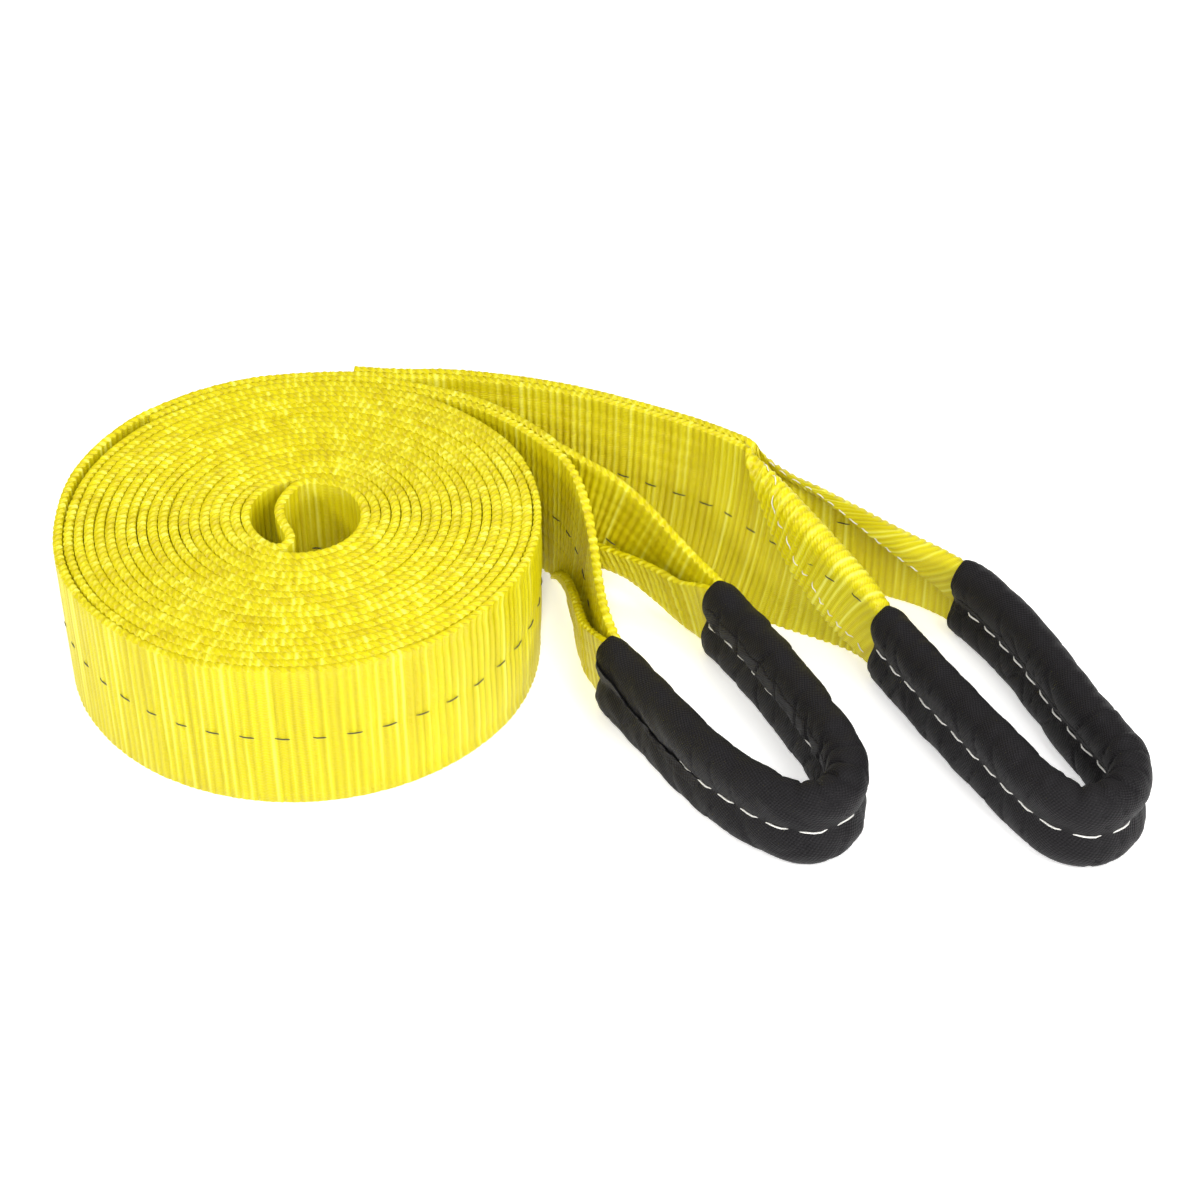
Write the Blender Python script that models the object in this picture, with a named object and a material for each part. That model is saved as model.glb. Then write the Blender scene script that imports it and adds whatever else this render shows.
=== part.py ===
"""Flat web sling, doubled at mid-length and rolled up, with an eye in a fabric sleeve on each end.

The web stands on its edge. It is wound from a U-shaped fold at the core, two plies together, so
both ends leave the roll at the back. Each end is a tail of two plies, the web and its lap, and
then opens into an eye, where the web is folded in half lengthwise inside a sleeve.
Lengths are in millimetres in the design and become metres when the meshes are made.
The web is cut at four upright hinge lines, where the limp sling bends.
"""
import bisect
import math

import bmesh
import bpy
from mathutils import Vector

MM = 0.001

# Web
WEB_WIDTH = 76.0
WEB_THICKNESS = 4.0
PLY_PITCH = 4.55                 # from ply to ply in the roll
HALF_WEB = WEB_THICKNESS / 2
HALF_PITCH = PLY_PITCH / 2

# Roll
CORE_RADIUS = 27.3               # middle of the innermost ply, at its +X side
TURNS = 9                        # full turns that the inner ply makes
STEPS_PER_TURN = 30
NEAR_LAP_START = 137.0           # bearing where the near lap's end lies, degrees
FAR_LAP_START_X = 13.5           # where the far lap's end lies, outside the roll
WEDGE_START = 190.0              # bearing where the outer ply starts to lift over that end
NEAR_EXIT = 82.0                 # bearing where the near tail leaves the roll
FAR_EXIT = 84.0
FLAT_BEARING = 98.0              # the roll is pressed flatter towards this bearing
FLAT_SPREAD = 34.0
FLAT_DEPTH = 0.035
BULGE_BEARING = 198.0            # and it bulges a little towards this one
BULGE_SPREAD = 40.0
BULGE_DEPTH = 0.016
INNER_START = 60.0               # bearings where the plies leave the fold at the core
OUTER_START = 190.0
TAIL_JOIN = 6.0                  # the roll's plies stop this many degrees short of the tails' routes
FOLD_POINTS = [(-10.5, 14.5), (-12.6, 5.0), (-9.6, -6.0), (-5.2, -15.0), (-6.0, -21.6), (-12.6, -23.6)]

# Routes in plan, about the roll's centre. A tail's route is midway between its two plies.
NEAR_TAIL_ROUTE = [(38, 101.5), (54, 97), (70, 89.5), (86, 78.5), (100, 65.5), (110, 53.5), (117, 42)]
FAR_TAIL_ROUTE = [(36, 111.5), (58, 111.5), (84, 107.5), (110, 101), (135, 91.5), (159, 80.3),
                  (180, 69.2), (198, 57), (208, 47.5), (216, 38)]
NEAR_TAIL_CUTS = (52.0, 108.0)   # the hinge lines' x
FAR_TAIL_CUTS = (64.0, 199.0)
NEAR_EYE_ROUTE = [(115, 46), (122.3, 32), (126.5, 16), (128.6, 0), (130, -15), (132.5, -31), (138, -47),
                  (147.5, -62), (159, -80.5), (172, -101), (184, -117), (196, -129), (208, -138.5),
                  (220, -143), (230.5, -139.5), (236.5, -131), (238.5, -121), (237, -110), (232, -96),
                  (224, -77), (216, -60), (206, -40), (196, -22), (187, -8), (176, 8), (163, 22.5),
                  (149, 33.5), (135, 41), (125, 45)]
FAR_EYE_ROUTE = [(213, 37.5), (226, 22.5), (240, 6.5), (252, -8.5), (263, -26), (273, -46), (284, -67.5),
                 (295, -88), (306, -108), (316, -126), (325, -138.5), (336, -145), (347.5, -142),
                 (356, -132), (359, -118.5), (355, -104.5), (348, -89.5), (341, -72), (334, -53),
                 (328, -37), (320, -20), (311, -4), (302, 8), (290, 19.5), (276, 29), (262, 36.5),
                 (248, 42.5), (235, 46.5), (222, 48)]

# Eyes
SLEEVE_ENDS = {"near": ((138, -47), (187, -8)), "far": ((263, -26), (302, 8))}
FOLDED_HEIGHT = 38.0             # the web folded in half
FOLD_GAP = 0.5                   # between the halves
EYE_LIFT = 2.2                   # the folded web's height off the ground in its sleeve
LEG_LIFT = {"near": (5.0, 15.0), "far": (0.0, 0.0)}      # on the near and the far leg
LIFT_PACE = 0.66                 # below 1, the lift is greatest nearer to the throat
FOLD_LAG = {"near": (1.0, 1.0), "far": (1.6, 1.0)}       # over 1, a leg keeps its height for longer at first
FOLD_PACE = {"near": (1.0, 2.3), "far": (1.0, 1.6)}      # over 1, it then loses its height sooner
FAR_FREE_EDGE = ((5.0, 1.35), (18.0, 1.1))   # height of the folded half's free edge at the sleeve, and its pace
NEAR_FREE_EDGE = 30.0            # the same on the near eye's far leg, which ends higher in the sleeve
NEAR_FREE_EDGE_RISE = 8.0
LEAST_FLAP = 1.5                 # where the fold has hardly begun
CREASE_GAP = 0.3                 # and there its two plies lie this close
PLAIN_HALF_LEAN = 1.2            # the other half leans over the free edge by this much
BEND_GAP = 3.2                   # between the cut ends at a hinge line
EYE_STEP = 9.0                   # between the sections of an eye
CURVE_SAMPLES = 12               # points worked out between two points of a route

# Sleeves
SLEEVE_HEIGHT = 42.0
SLEEVE_LOBE = 9.2                # half thickness across a lobe
SLEEVE_GROOVE = 6.4              # half thickness at the seam
SLEEVE_WALL = 1.3
SLEEVE_LOBE_REACH = 11.5         # half a lobe's height, were it a whole ellipse
SLEEVE_BASE = 5.2                # half thickness at its top and bottom
SLEEVE_LEVELS = [0.0, 0.12, 0.3, 0.5, 0.7, 0.88, 1.0]
SEAM_HEIGHT = SLEEVE_HEIGHT / 2

# Far tail's lower edge stands out towards the near side
FLARE = 18.0
FLARE_BANDS = 4

# Threads
THREAD_GAP = 0.35
THREAD_SIZE = 0.8
LAP_ROWS = 9
LAP_ROW_MARGIN = 7.0
FOLD_SEAM_INSET = 4.0

# The roll's centre, seen from the middle of the whole sling
ROLL_CENTRE = (-127.45, 18.3)

COLOURS = {
    "yellow_web": ((0.86, 0.74, 0.02, 1.0), 0.5),
    "black_fabric": ((0.02, 0.019, 0.021, 1.0), 0.85),
    "white_thread": ((0.8, 0.78, 0.72, 1.0), 0.6),
    "yellow_thread": ((0.8, 0.66, 0.03, 1.0), 0.6),
}


def clear_scene():
    for item in list(bpy.data.objects):
        bpy.data.objects.remove(item, do_unlink=True)


def make_material(name):
    colour, roughness = COLOURS[name]
    material = bpy.data.materials.new(name)
    material.use_nodes = True
    shader = material.node_tree.nodes["Principled BSDF"]
    shader.inputs["Base Color"].default_value = colour
    shader.inputs["Roughness"].default_value = roughness
    shader.inputs["Metallic"].default_value = 0.0
    return material


def ramp(value, low, high):
    """0 below low, 1 above high, and smooth between. Also runs backwards, when low is above high."""
    t = min(1.0, max(0.0, (value - low) / (high - low)))
    return t * t * (3 - 2 * t)


# ---------------------------------------------------------------- routes

def lobe(bearing, middle, spread):
    """A smooth bump of 1 at a bearing in degrees."""
    away = (bearing - middle + 180) % 360 - 180
    return math.exp(-(away / spread) ** 2)


def on_roll(radius, bearing):
    """A point in plan at a radius about the roll's centre, with the outer plies out of round."""
    change = BULGE_DEPTH * lobe(bearing, BULGE_BEARING, BULGE_SPREAD)
    change -= FLAT_DEPTH * lobe(bearing, FLAT_BEARING, FLAT_SPREAD)
    kept = radius * (1 + change * ramp(radius, 30, 100))
    angle = math.radians(bearing)
    return Vector((kept * math.cos(angle), kept * math.sin(angle)))


def inner_ply_radius(turned):
    """Middle of the inner ply after turning clockwise by this many degrees from +X."""
    return CORE_RADIUS + 2 * PLY_PITCH * turned / 360


def outer_ply_radius(turned):
    """Middle of the outer ply, which lifts over the near lap's end on its last turn."""
    last_turn = 360 * TURNS
    lift = ramp(turned, last_turn - WEDGE_START, last_turn - NEAR_LAP_START)
    return inner_ply_radius(turned) + PLY_PITCH * (1 + lift)


def roll_points(radius_at, first, last):
    """Points along one ply, between two amounts of clockwise turn in degrees."""
    step = 360 / STEPS_PER_TURN
    turns = [first + step * i for i in range(int((last - first) / step) + 1)]
    return [on_roll(radius_at(turned), -turned) for turned in turns]


def smooth_route(points, step=4.0):
    """A Catmull-Rom curve through the points, resampled evenly."""
    points = [Vector(p) for p in points]
    ends = [2 * points[0] - points[1]] + points + [2 * points[-1] - points[-2]]
    dense = []
    for a, b, c, d in zip(ends, ends[1:], ends[2:], ends[3:]):
        for i in range(CURVE_SAMPLES):
            t = i / CURVE_SAMPLES
            dense.append(0.5 * (2 * b + (c - a) * t + (2 * a - 5 * b + 4 * c - d) * t * t
                                + (3 * b - a - 3 * c + d) * t ** 3))
    dense.append(points[-1])
    return resample(dense, step)


def resample(points, step):
    lengths = [0.0]
    for a, b in zip(points, points[1:]):
        lengths.append(lengths[-1] + (b - a).length)
    count = max(2, round(lengths[-1] / step))
    result = []
    for i in range(count + 1):
        want = lengths[-1] * i / count
        j = min(len(points) - 2, max(0, bisect.bisect_right(lengths, want) - 1))
        part = (want - lengths[j]) / (lengths[j + 1] - lengths[j])
        result.append(points[j].lerp(points[j + 1], part))
    return result


def left_normals(points):
    """The unit normal on the left of the way along, at each point."""
    normals = []
    for i in range(len(points)):
        along = points[min(i + 1, len(points) - 1)] - points[max(i - 1, 0)]
        normals.append(Vector((-along.y, along.x)).normalized())
    return normals


def offset(points, distance):
    return [p + n * distance for p, n in zip(points, left_normals(points))]


def near_tail_middle():
    """Midway between the near tail's plies, from the lap's end in the roll to the throat."""
    last = 360 * TURNS
    start = roll_points(lambda t: inner_ply_radius(t) + HALF_PITCH, last - NEAR_LAP_START, last - NEAR_EXIT)
    return smooth_route(start + [Vector(p) for p in NEAR_TAIL_ROUTE])


def far_tail_middle():
    last = 360 * TURNS
    start = roll_points(lambda t: outer_ply_radius(t) + HALF_PITCH, last - NEAR_LAP_START, last - FAR_EXIT)
    return smooth_route(start + [Vector(p) for p in FAR_TAIL_ROUTE])


def between(points, low, high):
    """The part of a route whose x lies between two hinge lines, less half the bend gap."""
    gap = BEND_GAP / 2
    return [p for p in points if low + gap <= p.x <= high - gap]


# ---------------------------------------------------------------- meshes

def make_object(name, bm, material, smooth=False):
    bmesh.ops.recalc_face_normals(bm, faces=bm.faces)
    mesh = bpy.data.meshes.new(name)
    bm.to_mesh(mesh)
    bm.free()
    mesh.materials.append(material)
    if smooth:
        mesh.shade_smooth()
        mesh.set_sharp_from_angle(angle=math.radians(40))
    item = bpy.data.objects.new(name, mesh)
    item.location = (ROLL_CENTRE[0] * MM, ROLL_CENTRE[1] * MM, 0)
    bpy.context.collection.objects.link(item)
    return item


def ring_faces(bm, ring_a, ring_b):
    count = len(ring_a)
    for i in range(count):
        j = (i + 1) % count
        bm.faces.new((ring_a[i], ring_a[j], ring_b[j], ring_b[i]))


def sweep(name, sections, material, smooth=False):
    """A closed solid skinned over sections, each a ring of points in millimetres."""
    bm = bmesh.new()
    rings = [[bm.verts.new(Vector(p) * MM) for p in section] for section in sections]
    for ring_a, ring_b in zip(rings, rings[1:]):
        ring_faces(bm, ring_a, ring_b)
    bm.faces.new(rings[0])
    bm.faces.new(list(reversed(rings[-1])))
    return make_object(name, bm, material, smooth)


def sweep_tube(name, outer_sections, inner_sections, material):
    """A hollow solid, open at both ends, from outer and inner rings of equal count."""
    bm = bmesh.new()
    outer = [[bm.verts.new(Vector(p) * MM) for p in section] for section in outer_sections]
    inner = [[bm.verts.new(Vector(p) * MM) for p in section] for section in inner_sections]
    for rings in (outer, inner):
        for ring_a, ring_b in zip(rings, rings[1:]):
            ring_faces(bm, ring_a, ring_b)
    for k in (0, -1):
        ring_faces(bm, outer[k], inner[k])
    return make_object(name, bm, material, smooth=True)


def no_flare(x):
    return 0.0


def flare_at(x):
    """How far the far tail's lower edge stands out at this x."""
    return FLARE * ramp(x, 90, 175) * (1 - ramp(x, 212, 262))


def flare_share(height):
    """The share of the flare at a height: all of it at the lower edge, none at the upper."""
    step = WEB_WIDTH / FLARE_BANDS
    band = min(FLARE_BANDS - 1, int(height / step))
    below = (1 - band / FLARE_BANDS) ** 2
    above = (1 - (band + 1) / FLARE_BANDS) ** 2
    return below + (above - below) * (height / step - band)


def place(point, normal, across, height, flare):
    """A point across a ply and up it, with the flare that grows towards the lower edge."""
    out = across - flare * flare_share(height)
    return (point.x + normal.x * out, point.y + normal.y * out, height)


def ply_solid(name, points, material, middle=0.0, flare=no_flare):
    """A ply standing on its edge beside a route, its middle this far to the left of it."""
    sections = []
    bands = FLARE_BANDS if flare is flare_at else 1
    heights = [WEB_WIDTH * i / bands for i in range(bands + 1)]
    for p, n in zip(points, left_normals(points)):
        amount = flare(p.x)
        left = [place(p, n, middle + HALF_WEB, z, amount) for z in heights]
        right = [place(p, n, middle - HALF_WEB, z, amount) for z in reversed(heights)]
        sections.append(left + right)
    return sweep(name, sections, material)


# ---------------------------------------------------------------- the roll and the tails

def core_fold():
    """The U-shaped fold that divides the core, from the inner ply's start round to the outer's."""
    inner_bearings = (INNER_START + 10, INNER_START + 40)
    outer_bearings = (OUTER_START + 25, OUTER_START + 5)
    inner_start, inner_next = [on_roll(inner_ply_radius(-b), b) for b in inner_bearings]
    outer_start, outer_next = [on_roll(outer_ply_radius(-b), b) for b in outer_bearings]
    bend = [Vector(p) for p in FOLD_POINTS]
    return smooth_route([inner_start, inner_next] + bend + [outer_start, outer_next], 3.0)


def roll_web(material):
    """The web in the roll: out along the inner ply, in the fold's sense, and out along the outer ply."""
    near = between(near_tail_middle(), -1000, NEAR_TAIL_CUTS[0])
    far = between(far_tail_middle(), -1000, FAR_TAIL_CUTS[0])
    last = 360 * TURNS
    inner = roll_points(inner_ply_radius, -INNER_START, last - NEAR_LAP_START - TAIL_JOIN)
    outer = roll_points(outer_ply_radius, -OUTER_START, last - NEAR_LAP_START - TAIL_JOIN)
    near_ply = offset(near, -HALF_PITCH)
    far_ply = offset(far, -HALF_PITCH)
    route = list(reversed(near_ply)) + list(reversed(inner)) + core_fold()[1:-1] + outer + far_ply
    return ply_solid("web_roll", route, material)


def lap_ends(material):
    """The ends of the laps, which lie in the roll."""
    near = between(near_tail_middle(), -1000, NEAR_TAIL_CUTS[0])
    far = [p for p in between(far_tail_middle(), -1000, FAR_TAIL_CUTS[0]) if p.x > FAR_LAP_START_X]
    ply_solid("near_lap_end", near, material, HALF_PITCH)
    ply_solid("far_lap_end", far, material, HALF_PITCH)


def lap_rows(name, points, material, flare):
    """Lap stitching: one thread back and forth along the tail, on the face towards the roll."""
    face = -HALF_PITCH - HALF_WEB - THREAD_GAP - THREAD_SIZE / 2
    normals = left_normals(points)
    stops = range(2, len(points) - 2, 3)
    route = []
    for row in range(LAP_ROWS):
        height = LAP_ROW_MARGIN + (WEB_WIDTH - 2 * LAP_ROW_MARGIN) * row / (LAP_ROWS - 1)
        order = stops if row % 2 == 0 else reversed(stops)
        for i in order:
            route.append(Vector(place(points[i], normals[i], face, height, flare(points[i].x))))
    return thread(name, route, material)


def thread(name, route, material):
    """A thin square thread along a route in space, upright against the web."""
    half = THREAD_SIZE / 2
    sections = []
    for i, p in enumerate(route):
        along = (route[min(i + 1, len(route) - 1)] - route[max(i - 1, 0)]).normalized()
        flat = Vector((along.x, along.y, 0))
        if flat.length < 0.2:
            flat = route[max(i - 1, 0)] - route[max(i - 2, 0)]
            flat.z = 0
        side = Vector((-flat.y, flat.x, 0)).normalized() * half
        rise = along.cross(side).normalized() * half
        sections.append([p + side + rise, p - side + rise, p - side - rise, p + side - rise])
    return sweep(name, sections, material)


def tail(side, middle, cuts, flare, web, yarn):
    points = between(middle, cuts[0], cuts[1])
    ply_solid(side + "_tail_web", points, web, -HALF_PITCH, flare)
    ply_solid(side + "_tail_lap", points, web, HALF_PITCH, flare)
    lap_rows(side + "_lap_stitching", points, yarn, flare)


# ---------------------------------------------------------------- the eyes

class Eye:
    """An eye's route, and how far along it the web is folded and sleeved."""

    def __init__(self, side, route, middle, cut):
        self.side = side
        gap = BEND_GAP / 2
        start = next(p for p in middle if p.x >= cut + gap)
        leave = left_normals(middle)[middle.index(start)]
        near_start = start - leave * HALF_PITCH
        far_start = start + leave * HALF_PITCH
        self.points = smooth_route([near_start] + [Vector(p) for p in route] + [far_start], EYE_STEP)
        self.normals = left_normals(self.points)
        self.first = self.nearest(SLEEVE_ENDS[side][0])
        self.last = self.nearest(SLEEVE_ENDS[side][1])

    def nearest(self, place_in_plan):
        target = Vector(place_in_plan)
        return min(range(len(self.points)), key=lambda i: (self.points[i] - target).length)

    def folded(self, i):
        """0 at the throat, where the web is flat, and 1 from the sleeve's end."""
        if i <= self.first:
            return i / self.first
        if i >= self.last:
            return (len(self.points) - 1 - i) / (len(self.points) - 1 - self.last)
        return 1.0

    def base(self, i):
        """Height of the web's lowest line off the ground. Its top never rises over the roll's."""
        t = self.folded(i)
        lift = LEG_LIFT[self.side][self.leg(i)]
        rise = EYE_LIFT * ramp(t, 0.6, 1) + lift * math.sin(math.pi * t ** LIFT_PACE) ** 2
        return min(rise, WEB_WIDTH - self.height(i))

    def height(self, i):
        lag = FOLD_LAG[self.side][self.leg(i)]
        pace = FOLD_PACE[self.side][self.leg(i)]
        kept = (1 - self.folded(i) ** lag) ** pace
        return FOLDED_HEIGHT + (WEB_WIDTH - FOLDED_HEIGHT) * kept

    def flap(self, i):
        """How far the folded half reaches back from the fold. Its free edge runs askew along a leg."""
        t = self.folded(i)
        if self.side == "far":
            low, pace = FAR_FREE_EDGE[self.leg(i)]
            free_edge = low + (WEB_WIDTH - low) * (1 - t) ** pace
            return self.base(i) + self.height(i) - free_edge
        whole = WEB_WIDTH - self.height(i)
        if self.leg(i) == 0:
            return whole
        return min(whole, NEAR_FREE_EDGE + NEAR_FREE_EDGE_RISE * ramp(t, 0.75, 1) - self.base(i))

    def leg(self, i):
        """0 on the near leg and 1 on the far leg, which meet in the middle of the sleeve."""
        return int(i > (self.first + self.last) // 2)

    def flare(self, i):
        """The far eye's front leg carries on the far tail's flare."""
        front = self.side == "far" and i <= self.first
        return flare_at(self.points[i].x) if front else 0.0


def eye_ring(eye, i, side):
    """The main ply and, on the given side of it, the half that is folded over."""
    t = eye.folded(i)
    low = eye.base(i)
    high = low + eye.height(i)
    flap = max(LEAST_FLAP, min(eye.flap(i), eye.height(i) - 1))
    shift = (HALF_WEB + FOLD_GAP / 2) * ramp(t, 0.15, 0.9)
    outer = -side * (HALF_WEB + shift)
    inner = side * (HALF_WEB - shift)
    formed = ramp(t, 0.03, 0.3)
    flap_face = inner + side * (CREASE_GAP + (FOLD_GAP + WEB_THICKNESS - CREASE_GAP) * formed)
    step = side * PLAIN_HALF_LEAN * ramp(t, 0.8, 1)
    if side < 0:
        ring = [(outer, high), (outer, low), (flap_face, low), (flap_face, low + flap),
                (inner + step, low + flap), (inner - step, high)]
    else:
        ring = [(flap_face, low + flap), (flap_face, low), (outer, low), (outer, high),
                (inner - step, high), (inner + step, low + flap)]
    if eye.side == "far":
        ring = [(across, low + high - z) for across, z in ring]
    amount = eye.flare(i)
    return [place(eye.points[i], eye.normals[i], across, z, amount) for across, z in ring]


def eye_web(eye, material):
    """The web of an eye, from the throat round through the sleeve and back to the throat."""
    sections = [eye_ring(eye, i, 1 if eye.leg(i) else -1) for i in range(len(eye.points))]
    sweep(eye.side + "_eye_web", sections, material)


def sleeve_half_width(height):
    """Half the sleeve's thickness: two rounded lobes, one over the other, with a groove between."""
    centre = SLEEVE_HEIGHT / 4 if height < SEAM_HEIGHT else SLEEVE_HEIGHT * 3 / 4
    reach = min(1.0, abs(height - centre) / SLEEVE_LOBE_REACH)
    floor = SLEEVE_BASE + (SLEEVE_GROOVE - SLEEVE_BASE) * ramp(abs(height - SEAM_HEIGHT), 14, 8)
    return max(floor, SLEEVE_LOBE * math.sqrt(1 - reach * reach))


def sleeve_ring(eye, i, inside):
    """A ring round the sleeve's outer face, or round its inner face."""
    wall = SLEEVE_WALL if inside else 0.0
    ring = []
    for side, levels in ((1, SLEEVE_LEVELS), (-1, list(reversed(SLEEVE_LEVELS)))):
        for level in levels:
            half = sleeve_half_width(level * SLEEVE_HEIGHT)
            if inside:
                half = max(half - wall, HALF_WEB * 2 + FOLD_GAP / 2 + 0.45)
            z = wall + level * (SLEEVE_HEIGHT - 2 * wall)
            ring.append(place(eye.points[i], eye.normals[i], side * half, z, 0.0))
    return ring


def eye_sleeve(eye, material):
    stations = range(eye.first, eye.last + 1)
    sweep_tube(eye.side + "_eye_sleeve", [sleeve_ring(eye, i, False) for i in stations],
               [sleeve_ring(eye, i, True) for i in stations], material)


def sleeve_threads(eye, material):
    """The sleeve's seam is a lockstitch, so it has one thread on each face."""
    across = SLEEVE_GROOVE + THREAD_GAP + THREAD_SIZE / 2
    for side, label in ((-1, "outer"), (1, "inner")):
        route = [Vector(place(eye.points[i], eye.normals[i], side * across, SEAM_HEIGHT, 0.0))
                 for i in range(eye.first + 1, eye.last)]
        thread("%s_sleeve_%s_thread" % (eye.side, label), route, material)


def fold_threads(eye, material):
    """White stitches along the free edge of the folded half, on the far eye's two legs."""
    count = len(eye.points) - 1
    for side, label, stations in ((-1, "front", range(4, eye.first - 1)),
                                  (1, "back", range(eye.last + 2, count - 3))):
        route = []
        for i in stations:
            t = eye.folded(i)
            high = eye.base(i) + eye.height(i)
            edge = eye.height(i) - eye.flap(i)
            shift = (HALF_WEB + FOLD_GAP / 2) * ramp(t, 0.15, 0.9)
            face = HALF_WEB - shift + FOLD_GAP + WEB_THICKNESS
            across = side * (face + 2 * THREAD_GAP + THREAD_SIZE / 2)
            z = min(high - 3, eye.base(i) + edge + FOLD_SEAM_INSET)
            route.append(Vector(place(eye.points[i], eye.normals[i], across, z, eye.flare(i))))
        thread("far_%s_fold_thread" % label, route, material)


def main():
    clear_scene()
    web = make_material("yellow_web")
    fabric = make_material("black_fabric")
    white = make_material("white_thread")
    yellow = make_material("yellow_thread")
    roll_web(web)
    lap_ends(web)
    tails = {"near": (near_tail_middle(), NEAR_TAIL_CUTS, no_flare, NEAR_EYE_ROUTE),
             "far": (far_tail_middle(), FAR_TAIL_CUTS, flare_at, FAR_EYE_ROUTE)}
    for side, (middle, cuts, flare, route) in tails.items():
        tail(side, middle, cuts, flare, web, yellow)
        eye = Eye(side, route, middle, cuts[1])
        eye_web(eye, web)
        eye_sleeve(eye, fabric)
        sleeve_threads(eye, white)
        if side == "far":
            fold_threads(eye, white)


main()
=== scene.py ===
"""The looks of the rolled flat web sling: ribbed yellow web, black fabric sleeves and all stitching.

Lengths are in millimetres about the roll's centre, and become metres in the shared frame when a mesh is
made. The routes in plan repeat those of the CAD, so each piece lies over the solid that it stands for.
"""
import math

import bpy
import numpy as np
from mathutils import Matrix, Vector


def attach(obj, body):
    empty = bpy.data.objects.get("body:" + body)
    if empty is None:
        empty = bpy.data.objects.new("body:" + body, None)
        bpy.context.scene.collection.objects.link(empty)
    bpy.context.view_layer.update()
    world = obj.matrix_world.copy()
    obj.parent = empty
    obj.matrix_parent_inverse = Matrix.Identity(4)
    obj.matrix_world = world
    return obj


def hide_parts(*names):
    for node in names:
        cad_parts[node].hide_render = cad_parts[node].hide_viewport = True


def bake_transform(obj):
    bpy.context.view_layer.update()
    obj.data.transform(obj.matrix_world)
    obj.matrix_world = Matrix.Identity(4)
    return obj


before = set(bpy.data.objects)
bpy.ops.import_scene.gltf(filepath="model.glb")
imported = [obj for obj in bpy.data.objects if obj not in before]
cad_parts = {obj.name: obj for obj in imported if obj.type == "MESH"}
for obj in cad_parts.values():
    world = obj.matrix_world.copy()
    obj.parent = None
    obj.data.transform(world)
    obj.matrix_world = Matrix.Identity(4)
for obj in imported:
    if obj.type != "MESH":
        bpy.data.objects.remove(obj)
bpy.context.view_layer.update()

MM = 0.001
ROLL_CENTRE = (-127.45, 18.3)

# Web
WEB_WIDTH = 76.0
PLY_PITCH = 4.55
HALF_PITCH = PLY_PITCH / 2
HALF_TIGHT = 2.24                # half the web's thickness at a rib's crest, where plies touch
HALF_LOOSE = 1.93                # and where the roll is looser, so a dark gap shows
RIB_PITCH = 3.8
RIB_DEPTH = 0.62
RIB_VARIETY = 0.7                # ribs differ in depth by this share
RIB_SLIP = 0.05                  # and wander sideways by this share of their pitch
RIB_PRESSED = 0.72               # share of a rib's depth that is lost where plies press together
PLY_VARIETY = 0.1
SEAM_FADE = 10.0                 # ribs are all alike this near to where two pieces meet
EDGE_ROUND = 0.65                # how far the edge's rounding reaches across the web
EDGE_WAVE = 0.46                 # yarns turn over the edge in slanting bumps of this height
EDGE_BAND = 4.5                  # ribs are shallower this near to an edge, where the plies press together
EDGE_FULLNESS = 0.05
EDGE_REACH = 0.9                 # the bumps fade over this distance in from an edge
EDGE_TUCK = 0.25
COIL_REACH = 104.0               # radius within which another ply lies against the web
ROLL_REACH = 113.0
ROLL_RIM = (112, 118)            # radii between which the roll's unevenness ends
COIL_SAMPLES = 7                 # sections in a rib
FINE_SAMPLES = 8
FINE_ROWS = 44                   # faces across a web's width, outside the roll
HEIGHT_WANDER = 0.55             # one ply stands this much over or under the next

# Roll
CORE_RADIUS = 27.3
TURNS = 9
LAST_TURN = 360 * TURNS
LAST_TURN_RADIUS = 108.0
CORE_REACH = 260.0               # the fold's piece goes this far along the web each way
NEAR_LAP_START = 137.0
WEDGE_START = 190.0
NEAR_EXIT = 82.0
FAR_EXIT = 84.0
FAR_LAP_START_X = 13.5
FLAT_BEARING, FLAT_SPREAD, FLAT_DEPTH = 98.0, 34.0, 0.035
BULGE_BEARING, BULGE_SPREAD, BULGE_DEPTH = 198.0, 40.0, 0.016
FOLD_POINTS = [(-10.5, 14.5), (-12.6, 5.0), (-9.6, -6.0), (-5.2, -15.0), (-6.0, -21.6), (-12.6, -23.6)]

# Routes in plan, the same as in the CAD
TAIL_ROUTES = {
    "near": [(38, 101.5), (54, 97), (70, 89.5), (86, 78.5), (100, 65.5), (110, 53.5), (117, 42)],
    "far": [(36, 111.5), (58, 111.5), (84, 107.5), (110, 101), (135, 91.5), (159, 80.3),
            (180, 69.2), (198, 57), (208, 47.5), (216, 38)],
}
EYE_ROUTES = {
    "near": [(115, 46), (122.3, 32), (126.5, 16), (128.6, 0), (130, -15), (132.5, -31), (138, -47),
             (147.5, -62), (159, -80.5), (172, -101), (184, -117), (196, -129), (208, -138.5),
             (220, -143), (230.5, -139.5), (236.5, -131), (238.5, -121), (237, -110), (232, -96),
             (224, -77), (216, -60), (206, -40), (196, -22), (187, -8), (176, 8), (163, 22.5),
             (149, 33.5), (135, 41), (125, 45)],
    "far": [(213, 37.5), (226, 22.5), (240, 6.5), (252, -8.5), (263, -26), (273, -46), (284, -67.5),
            (295, -88), (306, -108), (316, -126), (325, -138.5), (336, -145), (347.5, -142),
            (356, -132), (359, -118.5), (355, -104.5), (348, -89.5), (341, -72), (334, -53),
            (328, -37), (320, -20), (311, -4), (302, 8), (290, 19.5), (276, 29), (262, 36.5),
            (248, 42.5), (235, 46.5), (222, 48)],
}
SLEEVE_ENDS = {"near": ((138, -47), (187, -8)), "far": ((263, -26), (302, 8))}
HINGES = {"near": (52.0, 108.0), "far": (64.0, 199.0)}   # x of the upright lines where the sling bends
MID_TAIL = {"near": 80.0, "far": 130.0}                  # x where the pieces of a tail meet
ROOT_CUT = {"near": 16.0, "far": 24.0}                   # x where a tail's pieces start, in the roll
ROUTE_STEP = 0.5

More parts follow.
